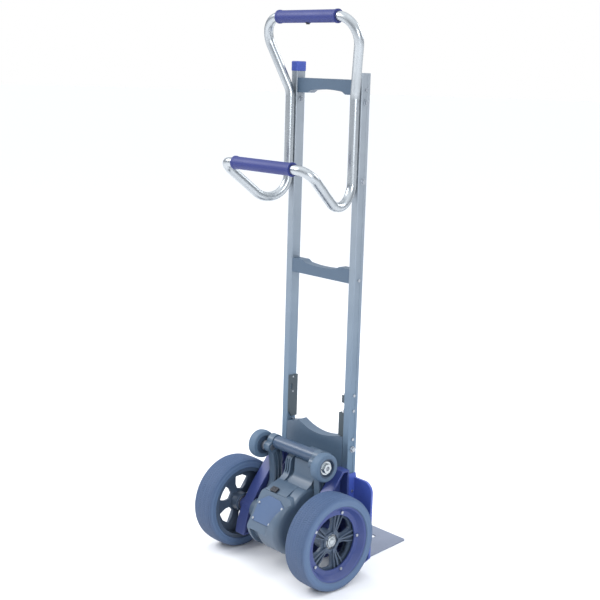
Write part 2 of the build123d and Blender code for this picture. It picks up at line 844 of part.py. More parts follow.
neck_slabs = (  # start, end and side view of each, from the housing up to the crossmember
    (neck_face_start_x, neck_end_x, (
        (0, 66), (24, 100), (42, 112), (50, 126), (52, 166), (61, 177), (bracket_front, 187),
        (bracket_front, 122), (96, 96), (70, 60),
    )),
    (neck_rib_start_x, neck_slot_start_x, (
        (0, 66), (24, 100), (40, 111), (47, 126), (49, 152), (56, 163), (70, 168),
        (bracket_front, 176), (bracket_front, 122), (96, 96), (70, 60),
    )),
    (neck_slot_start_x, neck_face_start_x, (
        (10, 66), (34, 100), (52, 114), (61, 126), (63, 148), (74, 158), (bracket_front, 166),
        (bracket_front, 122), (96, 96), (70, 60),
    )),
    (neck_rib_start_x, 41.0, (foot_rear, foot_crest, (24, 101), (60, 101), (60, 60), (-12, 60))),
)
with BuildPart() as neck_bracket:
    for slab_start, slab_end, outline in neck_slabs:
        with BuildSketch(across(slab_start)):
            with BuildLine():
                Polyline(*outline, close=True)
            make_face()
        extrude(amount=slab_end - slab_start)
    for groove_x in (-39.5, -31.5):
        with BuildSketch(across(groove_x)):
            with Locations((47, 138)):
                Rectangle(12, 40)
        extrude(amount=4, mode=Mode.SUBTRACT)
    with BuildSketch(across(neck_face_start_x + neck_wall)):
        with BuildLine():
            Polyline(
                (36, 100), (48, 110), (56, 126), (58, 163), (66, 171),
                (bracket_front - neck_wall, 178), (bracket_front - neck_wall, 60), (36, 60), close=True,
            )
        make_face()
    extrude(amount=neck_end_x - neck_face_start_x - 2 * neck_wall, mode=Mode.SUBTRACT)
    add(housing.part, mode=Mode.SUBTRACT)
write(neck_bracket, "neck_bracket")

socket_mid = ((foot_rear[0] + foot_crest[0]) / 2, (foot_rear[1] + foot_crest[1]) / 2)
socket_facing = math.atan2(foot_crest[1] - foot_rear[1], foot_crest[0] - foot_rear[0]) + math.pi / 2
socket_plane = Plane(
    origin=(-12, axle_y + socket_mid[0], axle_z + socket_mid[1]), x_dir=(1, 0, 0),
    z_dir=(0, math.cos(socket_facing), math.sin(socket_facing)),
)
socket_height = 6.0
with BuildPart() as socket_bezel:
    with BuildSketch(socket_plane):
        RectangleRounded(24, 16, 2)
    extrude(amount=socket_height)
    with BuildSketch(socket_plane.offset(socket_height)):
        Circle(5.2)
        Circle(4.2, mode=Mode.SUBTRACT)
    extrude(amount=-1, mode=Mode.SUBTRACT)
write(socket_bezel, "socket_bezel")

# Lift arms: a sleeve on the axle, two arms, and the tube and shaft that carry the rollers

with BuildPart() as arm_sleeve:
    with BuildSketch(across(-arm_outer_x - 2)):
        Circle(sleeve_radius)
        Circle(axle_radius + running_gap, mode=Mode.SUBTRACT)
    extrude(amount=2 * (arm_outer_x + 2))
write(arm_sleeve, "arm_sleeve")


def arm_side():
    """Side view of an arm: hub, curved beam, and a head with the tube's and the roller's seats."""
    with BuildSketch(Plane.XY, mode=Mode.PRIVATE) as view:
        with BuildLine():
            ThreePointArc((-17, 24.5), (20, 44), (42, 80))
            ThreePointArc((42, 80), (40, 130), (25, 188))
            Line((25, 188), (68, 197))
            ThreePointArc((68, 197), (70, 140), (71, 82))
            ThreePointArc((71, 82), (57, 28), (22, -20))
            Line((22, -20), (-17, 24.5))
        make_face()
    return view.sketch


def channel_rib():
    """The rib that runs down the middle of an arm's channels."""
    with BuildSketch(Plane.XY, mode=Mode.PRIVATE) as rib:
        with BuildLine():
            ThreePointArc((10, 12), (42, 42), (57, 85))
            ThreePointArc((57, 85), (55, 128), (46, 172))
        trace(line_width=3)
    return rib.sketch


def lift_arm(side_sign):
    width = arm_outer_x - arm_inner_x
    beam = arm_side()
    channel = offset(beam, -5)
    rib = channel_rib()
    roller_seat = (roller_reach_y, roller_reach_z)
    with BuildPart() as arm:
        with BuildSketch(across(arm_inner_x)):
            add(beam)
            Circle(30)
            with Locations(cross_tube_reach):
                Circle(cross_tube_radius + 3)
            with Locations(roller_seat):
                Circle(15)
        extrude(amount=width)
        for start_x, direction in ((arm_inner_x, 1), (arm_outer_x, -1)):
            with BuildSketch(across(start_x)):
                add(channel)
                Circle(28, mode=Mode.SUBTRACT)
                with Locations(cross_tube_reach):
                    Circle(cross_tube_radius + 6, mode=Mode.SUBTRACT)
                with Locations(roller_seat):
                    Circle(19, mode=Mode.SUBTRACT)
                add(rib, mode=Mode.SUBTRACT)
            extrude(amount=direction * 6, mode=Mode.SUBTRACT)
        with BuildSketch(across(arm_inner_x - 1)):
            Circle(sleeve_radius)
            with Locations(roller_seat):
                Circle(shaft_body_radius)
        extrude(amount=width + 2, mode=Mode.SUBTRACT)
    return on_side(arm, side_sign)


shaft_radius = 6.0
shaft_body_radius = 9.0
for side, sign in sides:
    write(lift_arm(sign), f"{side}_arm")

with BuildPart() as roller_tube:
    with BuildSketch(across(-arm_inner_x)):
        with Locations(cross_tube_reach):
            Circle(cross_tube_radius)
            Circle(cross_tube_bore, mode=Mode.SUBTRACT)
    extrude(amount=2 * arm_inner_x)
write(roller_tube, "roller_tube")

roller_inner_x = roller_mid_x - roller_width / 2
roller_outer_x = roller_mid_x + roller_width / 2
shoulder_x = roller_inner_x + 3.7
nut_start_x = roller_outer_x - 8.2
shaft_collar_radius = 15.0
with BuildPart() as roller_shaft:
    for end in (-1, 1):
        with BuildSketch(turning(roller_y, roller_z)):
            with BuildLine():
                Polyline(
                    (end * arm_inner_x, 0), (end * arm_inner_x, shaft_body_radius),
                    (end * arm_outer_x, shaft_body_radius), (end * arm_outer_x, shaft_collar_radius),
                    (end * (roller_inner_x - 3), shaft_collar_radius),
                    (end * (roller_inner_x - 3), shaft_body_radius),
                    (end * shoulder_x, shaft_body_radius), (end * shoulder_x, shaft_radius),
                    (end * roller_outer_x, shaft_radius), (end * roller_outer_x, 0), close=True,
                )
            make_face()
        revolve(axis=roller_line)
write(roller_shaft, "roller_shaft")

with BuildPart() as roller_nuts:
    for end in (-1, 1):
        with BuildSketch(across(end * nut_start_x, roller_y, roller_z)):
            Circle(19)
            Circle(shaft_radius, mode=Mode.SUBTRACT)
        extrude(amount=end * 3)
        with BuildSketch(across(end * (nut_start_x + 3), roller_y, roller_z)):
            RegularPolygon(14, 6)
            Circle(shaft_radius, mode=Mode.SUBTRACT)
        extrude(amount=end * 7)
write(roller_nuts, "roller_nuts")


def roller_hub(side_sign):
    recess_radius = 24.0
    with BuildPart() as hub:
        with BuildSketch(turning(roller_y, roller_z)):
            with BuildLine():
                Polyline(
                    (roller_inner_x, 27), (roller_inner_x, recess_radius),
                    (shoulder_x + 0.3, recess_radius - 1), (shoulder_x + 0.3, shaft_radius + running_gap),
                    (nut_start_x - 0.3, shaft_radius + running_gap),
                    (nut_start_x - 0.3, recess_radius - 1), (roller_outer_x, recess_radius),
                    (roller_outer_x, 27), close=True,
                )
            make_face()
        revolve(axis=roller_line)
    return on_side(hub, side_sign)


def roller_tyre(side_sign):
    crown = 1.2
    with BuildPart() as tread:
        with BuildSketch(turning(roller_y, roller_z)):
            with BuildLine():
                Line((roller_inner_x, 27), (roller_outer_x, 27))
                Line((roller_outer_x, 27), (roller_outer_x, roller_radius - 5))
                RadiusArc(
                    (roller_outer_x, roller_radius - 5), (roller_outer_x - 4, roller_radius - crown), -4.2
                )
                ThreePointArc(
                    (roller_outer_x - 4, roller_radius - crown), (roller_mid_x, roller_radius),
                    (roller_inner_x + 4, roller_radius - crown),
                )
                RadiusArc(
                    (roller_inner_x + 4, roller_radius - crown), (roller_inner_x, roller_radius - 5), -4.2
                )
                Line((roller_inner_x, roller_radius - 5), (roller_inner_x, 27))
            make_face()
        revolve(axis=roller_line)
    return on_side(tread, side_sign)


for side, sign in sides:
    write(roller_hub(sign), f"{side}_roller_hub")
    write(roller_tyre(sign), f"{side}_roller_tyre")


# Gears: involute teeth with a small backlash

def gear_face(teeth, phase):
    """Outline of a gear; phase is the direction of the first tooth's centre."""
    pitch = gear_module * teeth / 2
    base = pitch * math.cos(math.radians(20))
    tip = pitch + gear_module
    root = pitch - 1.25 * gear_module
    backlash_angle = 0.12 / pitch
    roll_at_pitch = math.tan(math.radians(20)) - math.radians(20)
    half_at_pitch = math.pi / (2 * teeth) - backlash_angle / 2

    def flank_point(radius):
        pressure = math.acos(min(1.0, base / radius))
        turned = math.tan(pressure) - pressure
        half = half_at_pitch + roll_at_pitch - turned
        return radius, math.degrees(half)

    flank_radii = [max(base, root) + (tip - max(base, root)) * step / 4 for step in range(5)]
    flank = [flank_point(radius) for radius in flank_radii]
    foot = (root - 0.4, flank[0][1])
    with BuildSketch(Plane.XY, mode=Mode.PRIVATE) as gear:
        Circle(root)
        with BuildSketch(Plane.XY, mode=Mode.PRIVATE) as tooth:
            with BuildLine():
                upper = [polar(radius, half) for radius, half in flank]
                lower = [polar(radius, -half) for radius, half in flank]
                Line(polar(*foot), upper[0])
                Spline(*upper)
                Line(upper[-1], lower[-1])
                Spline(*reversed(lower))
                Line(lower[0], polar(foot[0], -foot[1]))
                Line(polar(foot[0], -foot[1]), polar(*foot))
            make_face()
        with PolarLocations(0, teeth, start_angle=phase):
            add(tooth.sketch)
    return gear.sketch


with BuildPart() as arm_gear:
    with BuildSketch(across(gear_start_x)):
        add(gear_face(gear_teeth, pinion_direction))
    extrude(amount=gear_width)
    with BuildSketch(across(gear_start_x - 4)):
        Circle(24)
    extrude(amount=gear_width + 6)
    with BuildSketch(across(gear_start_x + gear_width / 2 + 2)):
        Circle(43)
        Circle(27, mode=Mode.SUBTRACT)
    extrude(amount=gear_width, mode=Mode.SUBTRACT)
    with BuildSketch(across(gear_start_x - 5)):
        Circle(sleeve_radius)
    extrude(amount=gear_width + 12, mode=Mode.SUBTRACT)
write(arm_gear, "arm_gear")

with BuildPart() as pinion:
    with BuildSketch(across(gear_start_x - 1, pinion_y, pinion_z)):
        add(gear_face(pinion_teeth, pinion_direction + 180 + 180 / pinion_teeth))
    extrude(amount=gear_width + 2)
    with BuildSketch(across(motor_end_x - 15, pinion_y, pinion_z)):
        Circle(pinion_shaft_radius)
    extrude(amount=gear_start_x + gear_width + 3 - (motor_end_x - 15))
write(pinion, "pinion")


# Main wheels. Distances across are taken from the wheel's middle, outward positive.

tyre_seat_radius = 100.0
rim_bore_radius = 93.0
ring_seat = 18.0  # where the outer ring meets the rim's barrel
hub_radius = 27.0
bearing_radius = 21.0
bearing_places = (-31.7, -9.0)
bearing_width = 12.0
first_window = {"left": 7.0, "right": 37.0}


def tyre(side_sign):
    half = wheel_width / 2
    with BuildPart() as band:
        with BuildSketch(turning()):
            with BuildLine():
                Polyline(
                    (wheel_mid_x - 30, tyre_seat_radius), (wheel_mid_x + 30, tyre_seat_radius),
                    (wheel_mid_x + 31, 103.3), (wheel_mid_x + half - 3, 103.3),
                    (wheel_mid_x + half, 107), (wheel_mid_x + half, 119),
                )
                ThreePointArc(
                    (wheel_mid_x + half, 119), (wheel_mid_x + half - 3.6, 125.6),
                    (wheel_mid_x + half - 12, 129),
                )
                ThreePointArc(
                    (wheel_mid_x + half - 12, 129), (wheel_mid_x, wheel_radius),
                    (wheel_mid_x - half + 12, 129),
                )
                ThreePointArc(
                    (wheel_mid_x - half + 12, 129), (wheel_mid_x - half + 3.6, 125.6),
                    (wheel_mid_x - half, 119),
                )
                Polyline(
                    (wheel_mid_x - half, 119), (wheel_mid_x - half, 107),
                    (wheel_mid_x - half + 3, 103.3), (wheel_mid_x - 31, 103.3),
                    (wheel_mid_x - 30, tyre_seat_radius),
                )
            make_face()
        revolve(axis=axle_line)
    return on_side(band, side_sign)


def rim(side_sign, phase):
    with BuildPart() as casting:
        with BuildSketch(turning()):
            with BuildLine():
                Polyline(
                    (wheel_mid_x - 34, rim_bore_radius), (wheel_mid_x + ring_seat, rim_bore_radius),
                    (wheel_mid_x + ring_seat, tyre_seat_radius), (wheel_mid_x - 30, tyre_seat_radius),
                    (wheel_mid_x - 31, 103.3), (wheel_mid_x - 34, 103.3), close=True,
                )
            make_face()
        revolve(axis=axle_line)
        with BuildSketch(across(wheel_mid_x - 4)):
            Circle(rim_bore_radius)
            with PolarLocations(0, 5, start_angle=phase):
                with BuildSketch(Plane.XY, mode=Mode.PRIVATE) as window:
                    with BuildLine():
                        Polyline(
                            polar(34, -15), polar(49, -21.5), polar(72, -18.5), polar(74, 0),
                            polar(72, 18.5), polar(49, 21.5), polar(34, 15), close=True,
                        )
                    make_face()
                    fillet(window.vertices(), 4)
                add(window.sketch, mode=Mode.SUBTRACT)
        extrude(amount=8)
        with BuildSketch(across(wheel_mid_x + 4)):
            with PolarLocations(0, 5, start_angle=phase + 36):
                with Locations((50, 0)):
                    Rectangle(62, 5)
                with Locations(Location((48, 8.5), 12)):
                    Rectangle(56, 3)
                with Locations(Location((48, -8.5), -12)):
                    Rectangle(56, 3)
        extrude(amount=7)
        with BuildSketch(across(wheel_mid_x - 32)):
            Circle(hub_radius)
        extrude(amount=40)
        with BuildSketch(across(wheel_mid_x - 32)):
            Circle(15)
        extrude(amount=60, mode=Mode.SUBTRACT)
        for place in bearing_places:
            with BuildSketch(across(wheel_mid_x + place)):
                Circle(bearing_radius)
            extrude(amount=bearing_width if place > -20 else -1, mode=Mode.SUBTRACT)
        with BuildSketch(across(wheel_mid_x + bearing_places[0])):
            Circle(bearing_radius)
        extrude(amount=bearing_width, mode=Mode.SUBTRACT)
        with BuildSketch(across(wheel_mid_x + bearing_places[1] + bearing_width)):
            Circle(bearing_radius)
        extrude(amount=20, mode=Mode.SUBTRACT)
    return on_side(casting, side_sign)


ring_bolt_radius = 83.4
ring_face = 17.0


def rim_ring(side_sign, phase):
    with BuildPart() as ring:
        with BuildSketch(turning()):
            with BuildLine():
                Polyline(
                    (wheel_mid_x + 11.5, 76), (wheel_mid_x + ring_face, 76),
                    (wheel_mid_x + ring_face, 89), (wheel_mid_x + 32, 98.5),
                    (wheel_mid_x + 34, 103.2), (wheel_mid_x + 31, 103.2),
                    (wheel_mid_x + 30, tyre_seat_radius), (wheel_mid_x + ring_seat, tyre_seat_radius),
                    (wheel_mid_x + ring_seat, rim_bore_radius), (wheel_mid_x + 11.5, rim_bore_radius),
                    close=True,
                )
            make_face()
        revolve(axis=axle_line)
        with BuildSketch(across(wheel_mid_x + ring_face + 1)):
            with PolarLocations(ring_bolt_radius, 5, start_angle=phase + 36):
                Circle(2.6)
        extrude(amount=-10, mode=Mode.SUBTRACT)
    return on_side(ring, side_sign)


def ring_bolts(side_sign, phase):
    with BuildPart() as bolts:
        with BuildSketch(across(wheel_mid_x + ring_face)):
            with PolarLocations(ring_bolt_radius, 5, start_angle=phase + 36):
                RegularPolygon(4.6, 6)
        extrude(amount=3.2)
        with BuildSketch(across(wheel_mid_x + ring_face)):
            with PolarLocations(ring_bolt_radius, 5, start_angle=phase + 36):
                Circle(2.5)
        extrude(amount=-5.5)
    return on_side(bolts, side_sign)


def wheel_bearings(side_sign):
    with BuildPart() as pair:
        for place in bearing_places:
            with BuildSketch(across(wheel_mid_x + place)):
                Circle(bearing_radius)
                Circle(axle_radius + running_gap, mode=Mode.SUBTRACT)
            extrude(amount=bearing_width)
            for face in (place, place + bearing_width - 1):
                with BuildSketch(across(wheel_mid_x + face)):
                    Circle(18)
                    Circle(13, mode=Mode.SUBTRACT)
                extrude(amount=1, mode=Mode.SUBTRACT)
    return on_side(pair, side_sign)


for side, sign in sides:
    write(tyre(sign), f"{side}_tyre")
    write(rim(sign, first_window[side]), f"{side}_rim")
    write(rim_ring(sign, first_window[side]), f"{side}_rim_ring")
    write(wheel_bearings(sign), f"{side}_wheel_bearings")
    write(ring_bolts(sign, first_window[side]), f"{side}_ring_bolts")

with BuildPart() as hub_nuts:
    for end in (-1, 1):
        start = end * (wheel_mid_x + bearing_places[1] + bearing_width + 0.4)
        with BuildSketch(across(start)):
            Circle(17)
        extrude(amount=end * 8)
        with BuildSketch(across(start)):
            Circle(axle_radius)
        extrude(amount=end * (axle_half_length - abs(start)), mode=Mode.SUBTRACT)
write(hub_nuts, "hub_nuts")
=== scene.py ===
import math
import bmesh
import bpy
from mathutils import Matrix, Vector
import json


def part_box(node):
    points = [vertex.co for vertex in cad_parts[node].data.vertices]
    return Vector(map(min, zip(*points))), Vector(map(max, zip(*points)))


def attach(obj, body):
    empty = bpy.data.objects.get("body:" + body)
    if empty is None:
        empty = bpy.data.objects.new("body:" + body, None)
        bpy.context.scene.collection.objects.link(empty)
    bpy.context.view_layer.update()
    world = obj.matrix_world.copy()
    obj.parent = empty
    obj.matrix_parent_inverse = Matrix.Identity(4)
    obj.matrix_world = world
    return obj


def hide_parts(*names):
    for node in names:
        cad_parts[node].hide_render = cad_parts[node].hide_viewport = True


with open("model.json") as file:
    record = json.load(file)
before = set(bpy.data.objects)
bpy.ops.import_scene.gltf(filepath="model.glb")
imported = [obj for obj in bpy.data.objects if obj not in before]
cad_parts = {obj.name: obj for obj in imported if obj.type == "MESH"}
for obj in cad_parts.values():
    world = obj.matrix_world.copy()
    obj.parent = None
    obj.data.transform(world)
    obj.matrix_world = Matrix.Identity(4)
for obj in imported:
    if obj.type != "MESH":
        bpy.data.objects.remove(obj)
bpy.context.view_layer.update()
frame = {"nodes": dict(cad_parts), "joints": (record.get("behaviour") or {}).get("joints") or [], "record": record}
nodes = frame["nodes"]
bodyOf = {name: body for body, names in frame["record"]["behaviour"]["bodies"].items() for name in names}
slotOf = {entry["node"]: entry["material_slot"] for entry in frame["record"]["subparts"]}
mm = 0.001

# the axle, and how far out on it the middle of a wheel is
jointAt = {joint["name"]: Vector(joint["pos_m"]) for joint in frame["joints"] if "pos_m" in joint}
axle = jointAt["lift_arm_swing"]
wheelMid = abs(sum(corner[0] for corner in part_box("left_tyre"))) / 2

# camera
cameraSetup = {
    "target": Vector((0, axle.y + 0.0452, axle.z + 0.6146)),
    "turn": 47.79,      # degrees round from straight behind
    "rise": 11.15,
    "roll": 1.72,
    "distance": 3.2044,
    "lens": 71.26,
}


def addCamera(setup):
    turn, rise, roll = (math.radians(setup[key]) for key in ("turn", "rise", "roll"))
    back = Vector((math.sin(turn) * math.cos(rise), -math.cos(turn) * math.cos(rise), math.sin(rise)))
    right = Vector((0, 0, 1)).cross(back).normalized()
    up = back.cross(right)
    rolledRight = right * math.cos(roll) + up * math.sin(roll)
    rolledUp = up * math.cos(roll) - right * math.sin(roll)
    place = setup["target"] + back * setup["distance"]
    data = bpy.data.cameras.new("camera")
    data.lens = setup["lens"]
    data.sensor_width = 36
    camera = bpy.data.objects.new("camera", data)
    camera.matrix_world = Matrix((
        (rolledRight.x, rolledUp.x, back.x, place.x),
        (rolledRight.y, rolledUp.y, back.y, place.y),
        (rolledRight.z, rolledUp.z, back.z, place.z),
        (0, 0, 0, 1),
    ))
    bpy.context.scene.collection.objects.link(camera)
    bpy.context.scene.camera = camera


addCamera(cameraSetup)
print("camera placed")


# shader nodes
def addNode(tree, kind, **settings):
    node = tree.nodes.new(kind)
    for key, value in settings.items():
        setattr(node, key, value)
    return node


def link(tree, source, target):
    tree.links.new(source, target)


def mathNode(tree, operation, first, second=None, clamp=False):
    node = addNode(tree, "ShaderNodeMath", operation=operation, use_clamp=clamp)
    for socket, value in zip(node.inputs, (first, second)):
        if value is None:
            continue
        if isinstance(value, (int, float)):
            socket.default_value = value
        else:
            link(tree, value, socket)
    return node.outputs[0]


def noiseNode(tree, vector, scale, detail=3.0, roughness=0.5):
    node = addNode(tree, "ShaderNodeTexNoise")
    link(tree, vector, node.inputs["Vector"])
    node.inputs["Detail"].default_value = detail
    node.inputs["Roughness"].default_value = roughness
    if isinstance(scale, (int, float)):
        node.inputs["Scale"].default_value = scale
    else:
        link(tree, scale, node.inputs["Scale"])
    return node.outputs["Fac"]


def mixColor(tree, factor, first, second):
    node = addNode(tree, "ShaderNodeMix", data_type="RGBA")
    link(tree, factor, node.inputs["Factor"])
    for socket, value in ((node.inputs[6], first), (node.inputs[7], second)):
        if isinstance(value, tuple):
            socket.default_value = value
        else:
            link(tree, value, socket)
    return node.outputs[2]


# studio
studio = {
    "floorColor": (0.88, 0.88, 0.89, 1),
    "floorRadius": 60,
    "floorDrop": 0.0005,
    "floorRoughness": 0.95,
    "horizonLight": (0.30, 0.33, 0.38, 1),      # what the metal reflects low down and from above
    "zenithLight": (1.55, 1.60, 1.66, 1),
    "backdrop": (1.0, 1.0, 1.0, 1),
    "aim": (0, 0, 0.6),
    "lights": [     # place, size, power, colour
        ((-2.4, -2.2, 3.2), 1.8, 105, (1.0, 1.0, 1.0)),
        ((3.4, -1.2, 1.9), 1.3, 48, (0.93, 0.96, 1.0)),
        ((0.6, 3.2, 2.6), 1.6, 40, (0.95, 0.97, 1.0)),
    ],
}


def addWorld(setup):
    # bright above and dim at the horizon for light and gloss, plain white behind the object
    world = bpy.data.worlds.new("studio")
    world.use_nodes = True
    tree = world.node_tree
    split = addNode(tree, "ShaderNodeSeparateXYZ")
    link(tree, addNode(tree, "ShaderNodeTexCoord").outputs["Generated"], split.inputs[0])
    sky = mixColor(tree, split.outputs["Z"], setup["horizonLight"], setup["zenithLight"])
    seen = addNode(tree, "ShaderNodeLightPath").outputs["Is Camera Ray"]
    link(tree, mixColor(tree, seen, sky, setup["backdrop"]), tree.nodes["Background"].inputs["Color"])
    bpy.context.scene.world = world


def addLights(setup):
    for number, (place, size, power, color) in enumerate(setup["lights"]):
        data = bpy.data.lights.new(f"softbox{number}", "AREA")
        data.size = size
        data.energy = power
        data.color = color
        light = bpy.data.objects.new(f"softbox{number}", data)
        light.location = place
        light.rotation_euler = (Vector(setup["aim"]) - Vector(place)).to_track_quat("-Z", "Y").to_euler()
        bpy.context.scene.collection.objects.link(light)


def addFloor(setup):
    mesh = bmesh.new()
    bmesh.ops.create_circle(mesh, cap_ends=True, segments=96, radius=setup["floorRadius"])
    data = bpy.data.meshes.new("floor")
    mesh.to_mesh(data)
    mesh.free()
    floor = bpy.data.objects.new("floor", data)
    floor.location.z = -setup["floorDrop"]
    material = bpy.data.materials.new("floorPaint")
    material.use_nodes = True
    shader = material.node_tree.nodes["Principled BSDF"].inputs
    shader["Base Color"].default_value = setup["floorColor"]
    shader["Roughness"].default_value = setup["floorRoughness"]
    shader["Specular IOR Level"].default_value = 0.1
    data.materials.append(material)
    bpy.context.scene.collection.objects.link(floor)


addWorld(studio)
addLights(studio)
addFloor(studio)
bpy.context.scene.view_settings.view_transform = "Standard"
print("studio lit")


# shader groups that several finishes share
def newGroup(name, inputs, outputs):
    group = bpy.data.node_groups.new(name, "ShaderNodeTree")
    for label, kind, value in inputs:
        socket = group.interface.new_socket(name=label, in_out="INPUT", socket_type=kind)
        if value is not None:
            socket.default_value = value
    for label, kind in outputs:
        group.interface.new_socket(name=label, in_out="OUTPUT", socket_type=kind)
    inside = group.nodes.new("NodeGroupInput")
    outside = group.nodes.new("NodeGroupOutput")
    return group, inside.outputs, outside.inputs


def makeMottle():
    # slow and fast colour variation, and the fine height of a sprayed or moulded skin
    group, given, result = newGroup(
        "mottle",
        [("Color", "NodeSocketColor", None), ("Dark", "NodeSocketColor", None),
         ("Cloud Scale", "NodeSocketFloat", 9.0), ("Grain Scale", "NodeSocketFloat", 700.0),
         ("Amount", "NodeSocketFloat", 0.5)],
        [("Color", "NodeSocketColor"), ("Height", "NodeSocketFloat"), ("Mask", "NodeSocketFloat")],
    )
    place = addNode(group, "ShaderNodeTexCoord").outputs["Object"]
    cloud = noiseNode(group, place, given["Cloud Scale"], 5.0, 0.6)
    grain = noiseNode(group, place, given["Grain Scale"], 2.0, 0.5)
    mask = mathNode(group, "MULTIPLY", cloud, given["Amount"], clamp=True)
    link(group, mixColor(group, mask, given["Color"], given["Dark"]), result["Color"])
    link(group, grain, result["Height"])
    link(group, cloud, result["Mask"])
    return group


def makeWear():
    # bright worn corners, found by comparing a rounded normal with the true one
    group, given, result = newGroup(
        "cornerWear",
        [("Radius", "NodeSocketFloat", 0.0012), ("Breakup", "NodeSocketFloat", 60.0),
         ("Amount", "NodeSocketFloat", 1.0)],
        [("Mask", "NodeSocketFloat"), ("Normal", "NodeSocketVector")],
    )
    gain, patchLevel = 9.0, 0.42
    bevel = addNode(group, "ShaderNodeBevel", samples=4)
    link(group, given["Radius"], bevel.inputs["Radius"])
    truth = addNode(group, "ShaderNodeNewGeometry")
    compare = addNode(group, "ShaderNodeVectorMath", operation="DOT_PRODUCT")
    link(group, bevel.outputs[0], compare.inputs[0])
    link(group, truth.outputs["Normal"], compare.inputs[1])
    away = mathNode(group, "SUBTRACT", 1.0, compare.outputs["Value"])
    place = addNode(group, "ShaderNodeTexCoord").outputs["Object"]
    broken = mathNode(group, "SUBTRACT", noiseNode(group, place, given["Breakup"], 4.0, 0.7), patchLevel)
    worn = mathNode(group, "MULTIPLY", mathNode(group, "MULTIPLY", away, gain), broken, clamp=True)
    link(group, mathNode(group, "MULTIPLY", worn, given["Amount"], clamp=True), result["Mask"])
    link(group, bevel.outputs[0], result["Normal"])
    return group


def makeDrawn():
    # long fine lines of drawn or rolled metal; Stretch sets the direction, small along the lines
    group, given, result = newGroup(
        "drawnLines",
        [("Stretch", "NodeSocketVector", None), ("Scale", "NodeSocketFloat", 40.0),
         ("Color", "NodeSocketColor", None), ("Dark", "NodeSocketColor", None)],
        [("Color", "NodeSocketColor"), ("Height", "NodeSocketFloat"), ("Roughness", "NodeSocketFloat")],
    )
    place = addNode(group, "ShaderNodeTexCoord").outputs["Object"]
    squeeze = addNode(group, "ShaderNodeVectorMath", operation="MULTIPLY")
    link(group, place, squeeze.inputs[0])
    link(group, given["Stretch"], squeeze.inputs[1])
    cloudScale, contrast = 14.0, 1.6
    roughBase, roughLines, roughClouds = 0.2, 0.22, 0.12
    lines = noiseNode(group, squeeze.outputs[0], given["Scale"], 4.0, 0.65)
    cloud = noiseNode(group, place, cloudScale, 3.0, 0.5)
    both = mathNode(group, "MULTIPLY", lines, cloud, clamp=True)
    mask = mathNode(group, "MULTIPLY", both, contrast, clamp=True)
    link(group, mixColor(group, mask, given["Color"], given["Dark"]), result["Color"])
    link(group, lines, result["Height"])
    rough = mathNode(group, "ADD", mathNode(group, "MULTIPLY", lines, roughLines), roughBase)
    clouded = mathNode(group, "ADD", rough, mathNode(group, "MULTIPLY", cloud, roughClouds))
    link(group, clouded, result["Roughness"])
    return group


def makeGrime():
    # handling marks and dust that gather low down
    group, given, result = newGroup(
        "grime",
        [("Color", "NodeSocketColor", None), ("Dust", "NodeSocketColor", None),
         ("Top", "NodeSocketFloat", 0.25), ("Amount", "NodeSocketFloat", 0.35)],
        [("Color", "NodeSocketColor"), ("Mask", "NodeSocketFloat")],
    )
    place = addNode(group, "ShaderNodeTexCoord").outputs["Object"]
    split = addNode(group, "ShaderNodeSeparateXYZ")
    link(group, place, split.inputs[0])
    blotchScale = 26.0
    height = mathNode(group, "DIVIDE", split.outputs["Z"], given["Top"])
    low = mathNode(group, "SUBTRACT", 1.0, height, clamp=True)
    blotch = noiseNode(group, place, blotchScale, 5.0, 0.7)
    mask = mathNode(group, "MULTIPLY", mathNode(group, "MULTIPLY", low, blotch), given["Amount"], clamp=True)
    link(group, mixColor(group, mask, given["Color"], given["Dust"]), result["Color"])
    link(group, mask, result["Mask"])
    return group


groups = {"mottle": makeMottle(), "wear": makeWear(), "drawn": makeDrawn(), "grime": makeGrime()}


def placeGroup(tree, name, values):
    node = addNode(tree, "ShaderNodeGroup")
    node.node_tree = groups[name]
    for key, value in values.items():
        if isinstance(value, (int, float, tuple)):
            node.inputs[key].default_value = value
        else:
            link(tree, value, node.inputs[key])
    return node.outputs


def shade(color, factor):
    return tuple(channel * factor for channel in color[:3]) + (1,)


def newFinish(name):
    material = bpy.data.materials.new(name)
    material.use_nodes = True
    tree = material.node_tree
    return material, tree, tree.nodes["Principled BSDF"].inputs


def bumpInto(tree, shader, height, strength, distance, normal):
    bump = addNode(tree, "ShaderNodeBump")
    bump.inputs["Strength"].default_value = strength
    bump.inputs["Distance"].default_value = distance
    link(tree, height, bump.inputs["Height"])
    link(tree, normal, bump.inputs["Normal"])
    link(tree, bump.outputs[0], shader["Normal"])


def placeAxis(tree, axis):
    split = addNode(tree, "ShaderNodeSeparateXYZ")
    link(tree, addNode(tree, "ShaderNodeTexCoord").outputs["Object"], split.inputs[0])
    return split.outputs[axis]


def wallMask(tree, look):
    # the smooth walls beside a tread, told by how far they are from the middle of their wheel
    aside = mathNode(tree, "SUBTRACT", mathNode(tree, "ABSOLUTE", placeAxis(tree, "X")), wheelMid)
    past = mathNode(tree, "SUBTRACT", mathNode(tree, "ABSOLUTE", aside), look["sideFrom"])
    return mathNode(tree, "MULTIPLY", past, 1 / look["sideFade"], clamp=True)


# fade for the painted shade that grows towards the floor
def lowShadeMask(tree, look):
    past = mathNode(tree, "SUBTRACT", placeAxis(tree, "Z"), look["lowFrom"])
    return mathNode(tree, "DIVIDE", past, look["lowTo"] - look["lowFrom"], clamp=True)


paintDefaults = {
    "darken": 0.8, "cloud": 9.0, "grain": 700.0, "mottle": 0.7,
    "corner": 0.0015, "breakup": 60.0, "wear": 0.6, "wornLift": 1.5,
    "dust": (0.18, 0.20, 0.24, 1), "dustTop": 0.3, "dustAmount": 0.35, "dustRough": 0.4,
    "bump": 0.15, "bumpDepth": 0.0004, "roughSpread": 0.18, "coatRoughness": 0.25,
}


